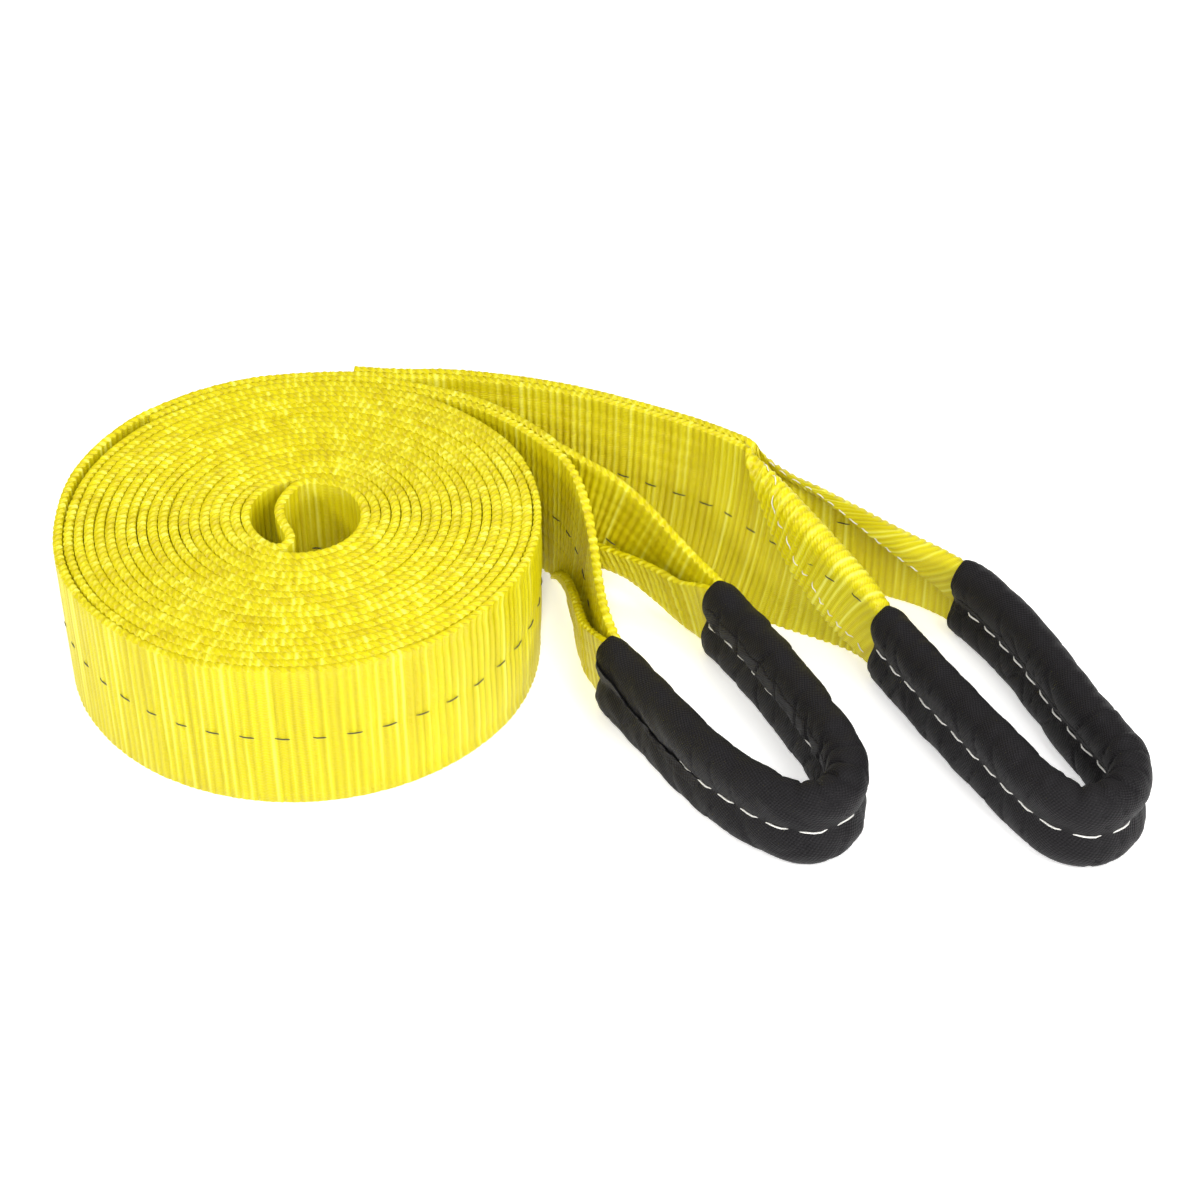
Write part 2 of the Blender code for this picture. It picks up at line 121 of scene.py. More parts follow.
# Eyes
FOLDED_HEIGHT = 38.0
FOLD_RADIUS = 2.3
FOLD_FULLNESS = {"near": 1.6, "far": 2.2}                # more radius at mid-leg
EYE_LIFT = 2.2
LEG_LIFT = {"near": (5.0, 15.0), "far": (0.0, 0.0)}
LIFT_PACE = 0.66
FOLD_LAG = {"near": (1.0, 1.0), "far": (1.6, 1.0)}
FOLD_PACE = {"near": (1.0, 2.3), "far": (1.0, 1.6)}
FAR_FREE_EDGE = ((5.0, 1.35), (18.0, 1.1))
NEAR_FREE_EDGE = 30.0
NEAR_FREE_EDGE_RISE = 8.0
MOST_STRETCH = 6.0               # of the folded half, where its free edge runs askew
RIB_SHEAR = {"near": 0.33, "far": 0.5}                   # ribs slant where the web is folded askew
SLEEVED_RELIEF_END = 12.0        # ribs are left off deeper than this in a sleeve

# Sleeves
SLEEVE_HEIGHT = 42.0
SLEEVE_LOBE = 9.2
SLEEVE_SEAM = 6.3
SLEEVE_WALL = 1.0
SLEEVE_STEP = 1.3
SLEEVE_AROUND = 84
SLEEVE_CROWN = {"near": (234, -136), "far": (352, -139)}
SLEEVE_SEED = {"near": 50, "far": 60}
# Slanting folds in the fabric: pitch, lean, drift and its wavelength, sharpness and depth
SLEEVE_FOLDS = ((17, 0.5, 0.6, 50, 7, 1.35), (23, -0.35, 0.5, 70, 8, 1.0))
CROWN_REACH = 26.0               # the crown's creases fade over this length
CREASE_PITCH = 10.5
CREASE_DEPTH = (4.2, 0.35)       # on the inner face and on the outer
CREASE_FULLNESS = (1.0, 0.2)
PUCKER = 0.42                    # the seam draws the fabric in between its stitches
EDGE_OVER_SEAM = {"near": 3.8, "far": -3.2}              # the fabric's cut edge on the inner face
# Each side's seams: face, label, length hidden at the start, and how far the stitches stand out
SEAMS = {"near": ((-1, "outer", 62.0, 0.0), (1, "inner", 0.0, 0.0)),
         "far": ((-1, "outer", 0.0, 0.0), (1, "inner", 0.0, 0.7))}
SEAM_HEIGHT = 21.8
SEAM_PITCH = 12.4
SEAM_STITCH = 9.9
STITCH_RADIUS = 0.4

# Marker yarn and stitches
DASH_PITCH = 15.2
DASH_LENGTH = 6.8
DASH_HALF_WIDTH = 0.34
MARKER_TURNS_OVER = 0.6          # share of the far eye's front leg from which the yarn shows on the fold
MARKER_PAST_FOLD = 32.0
LAP_ROWS = 9
LAP_ROW_MARGIN = 7.0
LAP_GROOVE = 0.5
LAP_SPAN = (20, 40, 176, 190)    # x where the stitching's grooves rise and fall
LAP_STITCH_HALF = 1.5
LAP_STITCH_RADIUS = 0.3
FOLD_STITCH_PITCH = 7.5
FOLD_STITCH_INSET = 4.0
FOLD_STITCH_LENGTH = (4.2, 1.6)  # the least, and how much longer one can be
FOLD_STITCH_RADIUS = 0.27
FLARE = 18.0
FLARE_SIDE = {"near": 0, "far": -1}
FLARE_SPAN = (90, 175, 212, 262)                         # x where the flare rises and falls
LAP_FLARE_END = (192, 228)                               # x where it falls on the lap

# Camera
FOCAL_LENGTH = 78.0
CAMERA_ELEVATION = 39.55
CAMERA_DISTANCE = 1184.0
CAMERA_TARGET = (132.8, -15.3, 38.0)

# Colours, dark and light, and the pale painted highlight on the crests of some ribs. The web's tone also
# paints shade into its rib grooves
WEB_COLOURS = ((0.55, 0.44, 0.001), (0.80, 0.74, 0.003))
WEB_PAINTED_HIGHLIGHT = (0.88, 0.87, 0.2)
FABRIC_COLOURS = ((0.0006, 0.0005, 0.0008), (0.0125, 0.0115, 0.0132))
MARKER_COLOURS = ((0.006, 0.006, 0.008), (0.02, 0.02, 0.025))
WHITE_COLOURS = ((0.66, 0.65, 0.6), (0.93, 0.92, 0.88))
YARN_COLOURS = ((0.55, 0.42, 0.01), (0.85, 0.74, 0.05))

# Studio: each lamp's place, target and size in metres, and its power in watts
LAMPS = {
    "front_lamp": ((-0.05, -0.8, 0.85), (-0.1, 0, 0.03), (0.1, 0.3), 4),
    "right_lamp": ((0.85, -0.64, 0.45), (-0.08, 0, 0.03), (0.1, 0.3), 5),
    "tail_lamp": ((0.4, -0.6, 0.75), (0.12, 0.05, 0.04), (0.3, 0.3), 3.2),
    "left_lamp": ((-1.0, -0.35, 0.75), (0.0, 0, 0.03), (0.3, 0.3), 6.5),
    "top_lamp": ((0.25, 0.6, 1.3), (0, 0, 0.03), (0.7, 0.7), 8),
}
SKY_COLOUR, SKY_STRENGTH = (1.0, 0.95, 0.89, 1.0), 0.3
FLOOR_GLOW = 0.46


# ---------------------------------------------------------------- small helpers

def ramp(value, low, high):
    """A smooth step from 0 at low to 1 at high."""
    t = np.clip((np.asarray(value, float) - low) / (high - low), 0, 1)
    return t * t * (3 - 2 * t)


def wander(value, wavelength, seed, terms=4):
    """Smooth noise from about -1 to 1 along a line, the same in every run."""
    rng = np.random.default_rng(seed)
    total = np.zeros(np.shape(value))
    for _ in range(terms):
        stretch = rng.uniform(0.6, 1.7)
        turns = np.asarray(value) / (wavelength * stretch)
        total = total + np.sin(2 * np.pi * turns + rng.uniform(0, 6.28))
    return total / (terms * 0.62)


def hashed(number, seed=0):
    """A steady random value from 0 to 1 for each whole number."""
    mixed = np.sin(np.asarray(number, float) * 12.9898 + seed * 78.233) * 43758.5453
    return mixed - np.floor(mixed)


def window(value, first, full, falling, last):
    """A smooth rise from first to full, and a smooth fall from falling to last."""
    return ramp(value, first, full) * (1 - ramp(value, falling, last))


def sharp_crest(turns):
    """1 on a sharp crest at each whole number, falling to 0 between them."""
    return 1 - np.abs(np.sin(math.pi * turns))


def lobe(bearing, middle, spread):
    """A soft hump round the roll, 1 at its middle bearing."""
    away = (bearing - middle + 180) % 360 - 180
    return np.exp(-(away / spread) ** 2)


# ---------------------------------------------------------------- routes in plan

def on_roll(radius, bearing):
    """A point of the roll, which is a little flat at the back and full at the front left."""
    change = BULGE_DEPTH * lobe(bearing, BULGE_BEARING, BULGE_SPREAD)
    change = change - FLAT_DEPTH * lobe(bearing, FLAT_BEARING, FLAT_SPREAD)
    kept = radius * (1 + change * ramp(radius, 30, 100))
    angle = np.radians(bearing)
    return np.stack([kept * np.cos(angle), kept * np.sin(angle)], axis=-1)


def inner_ply_radius(turned):
    return CORE_RADIUS + 2 * PLY_PITCH * turned / 360


def outer_ply_radius(turned):
    lift = ramp(turned, LAST_TURN - WEDGE_START, LAST_TURN - NEAR_LAP_START)
    return inner_ply_radius(turned) + PLY_PITCH * (1 + lift)


def roll_points(radius_at, first, last, step):
    turns = np.arange(first, last + step / 2, step)
    return on_roll(radius_at(turns), -turns)


def lengths_along(points):
    return np.concatenate([[0], np.cumsum(np.linalg.norm(np.diff(points, axis=0), axis=1))])


def resample(points, step):
    along = lengths_along(points)
    wanted = np.linspace(0, along[-1], max(2, round(along[-1] / step)) + 1)
    return np.stack([np.interp(wanted, along, points[:, k]) for k in range(2)], axis=-1)


def catmull(points, step=ROUTE_STEP):
    """A Catmull-Rom curve through the points, resampled evenly."""
    points = np.asarray(points, float)
    ends = np.concatenate([[2 * points[0] - points[1]], points, [2 * points[-1] - points[-2]]])
    dense = []
    for a, b, c, d in zip(ends, ends[1:], ends[2:], ends[3:]):
        t = np.linspace(0, 1, 24, endpoint=False)[:, None]
        dense.append(0.5 * (2 * b + (c - a) * t + (2 * a - 5 * b + 4 * c - d) * t ** 2
                            + (3 * b - a - 3 * c + d) * t ** 3))
    dense.append(points[-1:])
    return resample(np.concatenate(dense), step)


def soften(points, reach=9):
    """Evens out small kinks where two stretches of a route join. The ends stay."""
    result = points.copy()
    for _ in range(3):
        padded = np.concatenate([np.repeat(result[:1], reach, 0), result, np.repeat(result[-1:], reach, 0)])
        sums = np.cumsum(np.concatenate([np.zeros((1, 2)), padded]), axis=0)
        mean = (sums[2 * reach + 1:] - sums[:-2 * reach - 1]) / (2 * reach + 1)
        middle = slice(reach, len(points) - reach)
        result[middle] = mean[middle]
    return result


def left_normals(points):
    along = np.gradient(points, axis=0)
    normals = np.stack([-along[:, 1], along[:, 0]], axis=-1)
    return normals / np.linalg.norm(normals, axis=1)[:, None]


def offset(points, distance):
    return points + left_normals(points) * distance


def stand(point, normal, across, z, lowest):
    """A point in space, so far to the left of a place in plan and at a height off the ground."""
    plan = point + normal * across[..., None]
    return np.concatenate([plan, np.maximum(z, lowest)[..., None]], axis=-1)


def tail_middle(side):
    """Midway between a tail's two plies, from the lap's end in the roll to the throat."""
    radius_at, leave = {"near": (inner_ply_radius, NEAR_EXIT), "far": (outer_ply_radius, FAR_EXIT)}[side]
    start = roll_points(lambda t: radius_at(t) + HALF_PITCH, LAST_TURN - NEAR_LAP_START,
                        LAST_TURN - leave, 12)
    return soften(catmull(np.concatenate([start, TAIL_ROUTES[side]])))


def core_fold():
    ends = [on_roll(inner_ply_radius(-70.0), 70.0), on_roll(inner_ply_radius(-100.0), 100.0)]
    outer = [on_roll(outer_ply_radius(-215.0), 215.0), on_roll(outer_ply_radius(-195.0), 195.0)]
    return catmull(ends + [np.array(p, float) for p in FOLD_POINTS] + outer)


MIDDLES = {side: tail_middle(side) for side in ("near", "far")}


def seam_index(side):
    """Where along a tail's middle route its pieces meet."""
    return int(np.argmax(MIDDLES[side][:, 0] >= MID_TAIL[side]))


def roll_route():
    """The web from mid near tail, in along the inner ply, round the fold and out to mid far tail."""
    near = offset(MIDDLES["near"], -HALF_PITCH)[:seam_index("near") + 1]
    far = offset(MIDDLES["far"], -HALF_PITCH)[:seam_index("far") + 1]
    inner = roll_points(inner_ply_radius, -62.0, LAST_TURN - NEAR_LAP_START - 1, 1.0)
    outer = roll_points(outer_ply_radius, -192.0, LAST_TURN - NEAR_LAP_START - 1, 1.0)
    route = np.concatenate([near[::-1], inner[::-1], core_fold()[12:-12], outer, far])
    return soften(resample(route, ROUTE_STEP), 6)


def lap_route(side):
    """The end of a lap, from where it lies in the roll to mid tail."""
    route = offset(MIDDLES[side], HALF_PITCH)[:seam_index(side) + 1]
    return route[route[:, 0] >= FAR_LAP_START_X] if side == "far" else route


def eye_route(side):
    """From mid tail along the web, round the eye and back along the lap to mid tail."""
    middle = MIDDLES[side]
    stretch = slice(seam_index(side), int(np.argmax(middle[:, 0] > HINGES[side][1])))
    out = offset(middle, -HALF_PITCH)[stretch]
    back = offset(middle, HALF_PITCH)[stretch][::-1]
    eye = catmull([out[-1], *EYE_ROUTES[side], back[0]])
    return soften(resample(np.concatenate([out, eye[1:-1], back]), ROUTE_STEP), 8), len(out), len(back)


# ---------------------------------------------------------------- the web

def row_heights():
    """Heights of the rows of lap stitching."""
    span = WEB_WIDTH - 2 * LAP_ROW_MARGIN
    return [LAP_ROW_MARGIN + span * row / (LAP_ROWS - 1) for row in range(LAP_ROWS)]


def rib_groove(phase):
    """0 at a rib's crest and 1 in the groove between two ribs."""
    return (0.5 - 0.5 * np.cos(2 * np.pi * phase)) ** 1.6


class Band:
    """A stretch of web: a route in plan, and how the web's width stands or folds over it."""

    def __init__(self, route, seed, flare_side, quilted):
        self.route = route
        self.normals = left_normals(route)
        self.along = lengths_along(route)
        self.length = self.along[-1]
        self.seed = seed
        self.flare_side = flare_side
        self.quilted = quilted
        self.pitch = self.length / round(self.length / RIB_PITCH)

    def rib_phase(self, s):
        """A whole number at each rib's crest. Both ends of a band lie in a groove."""
        return s / self.pitch + 0.5

    def inward(self, s):
        """0 at the band's ends, where another piece meets it, and 1 further in."""
        return ramp(np.minimum(s, self.length - s), 0, SEAM_FADE)

    def plan(self, s):
        point = np.stack([np.interp(s, self.along, self.route[:, k]) for k in range(2)], axis=-1)
        normal = np.stack([np.interp(s, self.along, self.normals[:, k]) for k in range(2)], axis=-1)
        return point, normal / np.linalg.norm(normal, axis=-1)[..., None]

    def nearest(self, place):
        return self.along[np.argmin(np.linalg.norm(self.route - np.array(place), axis=1))]

    def at_x(self, x, from_end=False):
        """Where along the route its x first, or last, passes a value."""
        ahead = self.route[:, 0] > x
        changes = np.nonzero(ahead[1:] != ahead[:-1])[0]
        return self.along[changes[-1 if from_end else 0]]

    def half_thickness(self, s, v, point, relief):
        """Half the web's thickness, with ribs, looser stretches and the grooves of lap stitching."""
        rib = np.round(self.rib_phase(s))
        inward = self.inward(s)
        bold = 1 + (hashed(rib, self.seed) - 0.5) * RIB_VARIETY * inward
        slip = RIB_SLIP * np.sin(v / 7.0 + 6.28 * hashed(rib, 3)) * inward
        groove = RIB_DEPTH * relief * bold * rib_groove(self.rib_phase(s) + slip)
        radius = np.linalg.norm(point, axis=-1)
        coiled = (1 - ramp(np.minimum(v, WEB_WIDTH - v), 0.5, EDGE_BAND)) * (radius < COIL_REACH)
        half = HALF_TIGHT - groove * (1 - RIB_PRESSED * coiled)
        half = half - PLY_VARIETY * hashed(rib, 7) * (1 - coiled) * inward + EDGE_FULLNESS * coiled
        across = np.abs(point[..., 0]) / np.maximum(radius, 1)
        loose = np.clip(across ** 3 * (0.35 + 0.9 * wander(s, 110.0, 11)), 0, 1) * (radius < ROLL_REACH)
        half = half - (HALF_TIGHT - HALF_LOOSE) * loose
        pressed = (1 - ramp(across, 0.35, 0.8)) * coiled
        half = half + 0.06 * pressed * (0.4 + hashed(rib, self.seed + 8))
        if self.quilted:
            depth = LAP_GROOVE * relief * window(point[..., 0], *LAP_SPAN)
            for height in row_heights():
                half = half - depth * np.exp(-(v - height) ** 2)
        return half

    def flare(self, s, point, height):
        """The far tail's lower edge stands out towards the near side."""
        amount = FLARE * window(point[..., 0], *FLARE_SPAN)
        return self.flare_sign(s, point) * amount * np.clip(1 - height / WEB_WIDTH, 0, 1) ** 2

    def flare_sign(self, s, point):
        return self.flare_side

    def fold(self, s, v):
        """Where a point of the web lies: along, across and up, and the direction across the ply."""
        zero = np.zeros(np.broadcast(s, v).shape)
        return s + zero, zero, v + zero, zero + 1.0, zero

    def position(self, s, v, share, relief=1.0):
        """A point at a place along the web, a height across its width, and a share of its thickness."""
        s, v, share = np.broadcast_arrays(*(np.asarray(x, float) for x in (s, v, share)))
        u, across, up, out_across, out_up = self.fold(s, v)
        point, normal = self.plan(u)
        half = self.half_thickness(s, v, point, relief)
        slanted = self.rib_phase(s) + 0.5 * share
        bump = EDGE_WAVE * (1 + 0.8 * (hashed(np.round(slanted), self.seed + 6) - 0.5) * self.inward(s))
        turn = bump * np.cos(2 * np.pi * slanted)
        near_edge = np.exp(-np.minimum(v, WEB_WIDTH - v) / EDGE_REACH)
        edge = (turn - EDGE_TUCK) * near_edge * np.where(v > WEB_WIDTH / 2, 1, -1)
        uneven = HEIGHT_WANDER * wander(s, 90.0, 5) * ramp(v, 0, WEB_WIDTH) * self.upright(point)
        # Across the web's width in the ply's own section, the edge's bumps lie along the width.
        a = across + share * half * out_across - edge * out_up
        z = up + share * half * out_up + edge * out_across + uneven
        a = a + self.flare(s, point, z)
        return stand(point, normal, a, z, 0.05)

    def marker_height(self, s):
        """The marker yarn runs along the middle of the web's width."""
        return WEB_WIDTH / 2

    def upright(self, point):
        """1 in the roll, where a ply may stand over its neighbours, and 0 on a tail."""
        return 1 - ramp(np.linalg.norm(point, axis=-1), *ROLL_RIM)


class EyeBand(Band):
    """The web round an eye. One half is folded over the other on the side that the viewer sees."""

    def __init__(self, side):
        route, out_count, back_count = eye_route(side)
        super().__init__(route, {"near": 21, "far": 22}[side], FLARE_SIDE[side], quilted=True)
        self.side = side
        self.throat_out = self.along[out_count]
        self.throat_back = self.along[-back_count]
        self.sleeve_start, self.sleeve_end = (self.nearest(place) for place in SLEEVE_ENDS[side])
        self.middle = (self.sleeve_start + self.sleeve_end) / 2

    def on_back_leg(self, s):
        return np.asarray(s) > self.middle

    def folded(self, u):
        out = (u - self.throat_out) / (self.sleeve_start - self.throat_out)
        back = (self.throat_back - u) / (self.throat_back - self.sleeve_end)
        return np.clip(np.minimum(out, back), 0, 1)

    def flare_sign(self, s, point):
        """The lap runs back along the tail, and its flare ends soon after the throat."""
        lap = -self.flare_side * (1 - ramp(point[..., 0], *LAP_FLARE_END))
        return np.where(self.on_back_leg(s), lap, self.flare_side)

    def measures(self, u):
        """Folded height, base height, fold radius and how far the fold has formed, at each place."""
        t = self.folded(u)
        back = self.on_back_leg(u)
        lag, pace, lift = (np.where(back, pair[1], pair[0]) for pair in (
            FOLD_LAG[self.side], FOLD_PACE[self.side], LEG_LIFT[self.side]))
        height = FOLDED_HEIGHT + (WEB_WIDTH - FOLDED_HEIGHT) * (1 - t ** lag) ** pace
        base = EYE_LIFT * ramp(t, 0.6, 1) + lift * np.sin(math.pi * t ** LIFT_PACE) ** 2
        base = np.minimum(base, WEB_WIDTH - height)
        radius = FOLD_RADIUS + FOLD_FULLNESS[self.side] * window(t, 0.1, 0.45, 0.7, 1.0)
        return t, height, base, radius

    def flap(self, u, t, height, base):
        """How far the folded half reaches back from the fold. Its free edge runs askew along a leg."""
        back = self.on_back_leg(u)
        if self.side == "far":
            front_edge, back_edge = (low + (WEB_WIDTH - low) * (1 - t) ** pace
                                     for low, pace in FAR_FREE_EDGE)
            return base + height - np.where(back, back_edge, front_edge)
        free_edge = NEAR_FREE_EDGE + NEAR_FREE_EDGE_RISE * ramp(t, 0.75, 1)
        level = np.minimum(WEB_WIDTH - height, free_edge - base)
        return np.where(back, level, WEB_WIDTH - height)

    def fold(self, s, v):
        s, v = np.broadcast_arrays(np.asarray(s, float), np.asarray(v, float))
        from_plain_edge = WEB_WIDTH - v if self.side == "near" else v
        towards_throat = np.where(self.on_back_leg(s), 1.0, -1.0)
        t, height, base, radius = self.measures(s)
        if self.side == "near":
            slanted = from_plain_edge * ramp(t, 0.0, 0.55)
        else:
            slanted = np.maximum(0, from_plain_edge - height)
        inside = np.minimum(s - self.sleeve_start, self.sleeve_end - s)
        slanted = slanted * (1 - ramp(inside, 5, 85))
        u = np.clip(s + towards_throat * RIB_SHEAR[self.side] * slanted, 0, self.length)
        t, height, base, radius = self.measures(u)
        viewer = np.where(self.on_back_leg(u), 1.0, -1.0)
        formed = ramp(t, 0.0, 0.12)
        quarter = math.pi * radius / 2
        beyond = from_plain_edge - height
        reach = self.flap(u, t, height, base) / np.maximum(WEB_WIDTH - height, 0.05)
        # A point on the folded half keeps its share of the way to the free edge.
        beyond = np.where(beyond > 0, beyond * np.clip(reach, 0, MOST_STRETCH), beyond)
        beyond = beyond - quarter * (1 - formed)
        angle = np.clip(beyond / radius, -math.pi / 2, math.pi / 2)
        shift = (HALF_TIGHT + 0.1) * ramp(t, 0.15, 0.9)
        past = np.maximum(0, np.abs(beyond) - quarter)
        across = viewer * (-shift + radius + radius * np.sin(angle))
        up = base + (radius + HALF_TIGHT) * formed - radius * np.cos(angle) + past
        out_across = viewer * -np.sin(angle)
        out_up = np.cos(angle)
        sleeved = np.minimum(u - self.sleeve_start, self.sleeve_end - u)
        up = base + (up - base) * (1 - 0.09 * ramp(sleeved, -3, 6))
        if self.side == "far":
            up = 2 * base + height - up
            out_up = -out_up
        return u, across, up, out_across, out_up

    def half_thickness(self, s, v, point, relief):
        half = super().half_thickness(s, v, point, relief)
        inside = np.minimum(s - self.sleeve_start, self.sleeve_end - s)
        return np.where(inside > 0, np.minimum(half, 1.7), half)

    def upright(self, point):
        return 0.0

    def marker_height(self, s):
        """On the far eye's front leg the yarn comes over onto the folded half, and nears the fold."""
        if self.side == "near":
            return WEB_WIDTH / 2
        t, height, base, radius = self.measures(s)
        share = self.flap(s, t, height, base) / np.maximum(WEB_WIDTH - height, 0.05)
        past_fold = MARKER_PAST_FOLD * (1 - t) + (math.pi / 2 - 1) * radius + 4.0
        folded_over = (t > MARKER_TURNS_OVER) & ~self.on_back_leg(s)
        return np.where(folded_over, height + past_fold / np.clip(share, 0.3, MOST_STRETCH), WEB_WIDTH / 2)


def web_ring(face_steps):
    """The web's section as heights across its width and shares of its thickness, all the way round."""
    faces = np.linspace(EDGE_ROUND, WEB_WIDTH - EDGE_ROUND, face_steps + 1)
    angles = np.radians([22, 45, 68, 90, 112, 135, 158])
    crown_v = WEB_WIDTH - EDGE_ROUND + EDGE_ROUND * np.sin(angles)
    crown_w = np.cos(angles)
    v = np.concatenate([faces, crown_v, faces[::-1], WEB_WIDTH - crown_v])
    w = np.concatenate([np.ones(len(faces)), crown_w, -np.ones(len(faces)), -crown_w])
    return v, w


# ---------------------------------------------------------------- meshes

def to_frame(points):
    shift = np.array([ROLL_CENTRE[0], ROLL_CENTRE[1], 0.0])
    return (points + shift) * MM


def grid_faces(count, around):
    """Four-sided faces between one ring of points and the next."""
    i = np.arange(count - 1)[:, None] * around
    j = np.arange(around)[None, :]
    k = (j + 1) % around
    quads = np.stack([i + j, i + k, i + around + k, i + around + j], axis=-1)
    return quads.reshape(-1, 4)


def signed_volume(points, quads):
    a, b, c, d = (points[quads[:, k]] for k in range(4))
    return np.einsum("ij,ij->i", a, np.cross(b, c)).sum() + np.einsum("ij,ij->i", a, np.cross(c, d)).sum()


def make_mesh(name, points, quads, caps, uv, material):
    """One mesh object from arrays. Faces are turned outward, and uv is in millimetres."""
    points = to_frame(points.reshape(-1, 3))
    centred = points - points.mean(axis=0)
    if signed_volume(centred, quads) < 0:
        quads = quads[:, ::-1]
        caps = [cap[::-1] for cap in caps]
    corners = np.concatenate([quads.reshape(-1)] + [np.asarray(cap) for cap in caps])
    totals = np.array([4] * len(quads) + [len(cap) for cap in caps], np.int32)
    mesh = bpy.data.meshes.new(name)
    mesh.vertices.add(len(points))
    mesh.vertices.foreach_set("co", points.astype(np.float32).reshape(-1))
    mesh.loops.add(len(corners))
    mesh.loops.foreach_set("vertex_index", corners.astype(np.int32))
    mesh.polygons.add(len(totals))
    starts = np.concatenate([[0], np.cumsum(totals)[:-1]]).astype(np.int32)
    mesh.polygons.foreach_set("loop_start", starts)
    mesh.polygons.foreach_set("loop_total", totals)
    mesh.polygons.foreach_set("use_smooth", np.ones(len(totals), bool))
    layer = mesh.uv_layers.new(name="UVMap")
    layer.data.foreach_set("uv", (uv.reshape(-1, 2)[corners] * MM).astype(np.float32).reshape(-1))
    mesh.materials.append(material)
    mesh.update()
    mesh.validate()
    item = bpy.data.objects.new(name, mesh)
    bpy.context.collection.objects.link(item)
    return item


def skin(name, rings, uv, material):
    """A closed mesh over rings of points, with a flat cap on each end."""
    count, around = rings.shape[:2]
    quads = grid_faces(count, around)
    last = (count - 1) * around
    caps = [np.arange(around)[::-1], np.arange(last, last + around)]
    return make_mesh(name, rings, quads, caps, uv, material)


def many(name, pieces, uvs, material):
    """One mesh of many small closed pieces, all with rings of the same counts."""
    pieces = np.asarray(pieces)
    count, around = pieces.shape[1:3]
    each = count * around
    block = grid_faces(count, around)
    ring = np.arange(around)
    quads = []
    caps = []
    for k, piece in enumerate(pieces):
        points = piece.reshape(-1, 3)
        turn = -1 if signed_volume(points - points.mean(axis=0), block) < 0 else 1
        quads.append(block[:, ::turn] + k * each)
        caps.append(ring[::-turn] + k * each)
        caps.append((ring + each - around)[::turn] + k * each)
    return make_mesh(name, pieces, np.concatenate(quads), caps, np.asarray(uvs), material)


def web_piece(name, band, first, last, samples, face_steps, material):
    """A stretch of web between two places along a band."""
    count = max(3, round((last - first) / band.pitch * samples))
    s = np.linspace(first, last, count + 1)
    v, w = web_ring(face_steps)
    rings = band.position(s[:, None], v[None, :], w[None, :])
    uv = np.stack(np.broadcast_arrays(band.rib_phase(s)[:, None] * RIB_PITCH, v[None, :]), axis=-1)
    return skin(name, rings, uv, material)


# ---------------------------------------------------------------- stitches and marker dashes

CAPSULE_ALONG = np.array([-1.0, -0.82, -0.45, 0.0, 0.45, 0.82, 1.0])
CAPSULE_SIDES = 6


def stitch(centre_line, side_line, out_line, radius):
    """Rings of a thin round thread that follows a line of points."""
    turns = np.linspace(0, 2 * np.pi, CAPSULE_SIDES, endpoint=False)
    taper = np.array([0.45, 0.8, 1.0, 1.0, 1.0, 0.8, 0.45])[:, None, None] * radius
    around = (side_line[:, None, :] * np.cos(turns)[None, :, None]
              + out_line[:, None, :] * np.sin(turns)[None, :, None])
    return centre_line[:, None, :] + around * taper


def unit(vectors):
    return vectors / np.maximum(np.linalg.norm(vectors, axis=-1), 1e-9)[..., None]


def stitch_uv(length, radius):
    along = CAPSULE_ALONG[:, None] * length / 2
    around = np.linspace(0, 6 * radius, CAPSULE_SIDES)[None, :]
    return np.stack(np.broadcast_arrays(along, around), axis=-1)


def sideways(line, out):
    """Square to a line of points and to the direction out of the cloth."""
    return unit(np.cross(unit(np.gradient(line, axis=0)), out))


def web_stitches(name, band, rows, share, radius, material, rise, sink):
    """Stitches on a web's face. Each row entry is where a stitch's two ends lie: (s, v) and (s, v)."""
    pieces = []
    uvs = []
    for (s0, v0), (s1, v1) in rows:
        part = (CAPSULE_ALONG + 1) / 2
        s = s0 + (s1 - s0) * part
        v = v0 + (v1 - v0) * part
        face = band.position(s, v, share)
        out = unit(face - band.position(s, v, 0.0))
        arch = rise - (rise + sink) * np.abs(CAPSULE_ALONG) ** 4
        line = face + out * arch[:, None]
        pieces.append(stitch(line, sideways(face, out), out, radius))
        uvs.append(stitch_uv(math.hypot(s1 - s0, v1 - v0), radius))
    return many(name, pieces, uvs, material)


def dash_places(first, last):
    start = math.ceil(first / DASH_PITCH) * DASH_PITCH
    return list(np.arange(start, last - DASH_LENGTH, DASH_PITCH))


def marker_dashes(name, band, places, shares, material):
    """The black marker yarn where it comes to the surface, along the middle of the web's width."""
    pieces = []
    uvs = []
    for share in shares:
        for s0 in places:
            lean = 0.5 * (hashed(round(s0), 9) - 0.5)
            length = DASH_LENGTH * (0.85 + 0.3 * hashed(round(s0), 4))
            s = s0 + (CAPSULE_ALONG + 1) / 2 * length
            v = band.marker_height(s) + lean * CAPSULE_ALONG
            face = band.position(s, v, share, 0.25)
            out = unit(face - band.position(s, v, 0.0))
            line = face + out * (0.14 - 0.5 * np.abs(CAPSULE_ALONG[:, None]) ** 4)
            pieces.append(stitch(line, sideways(face, out), out * 0.7, DASH_HALF_WIDTH))
            uvs.append(stitch_uv(length, DASH_HALF_WIDTH))
    return many(name, pieces, uvs, material)


# ---------------------------------------------------------------- sleeves


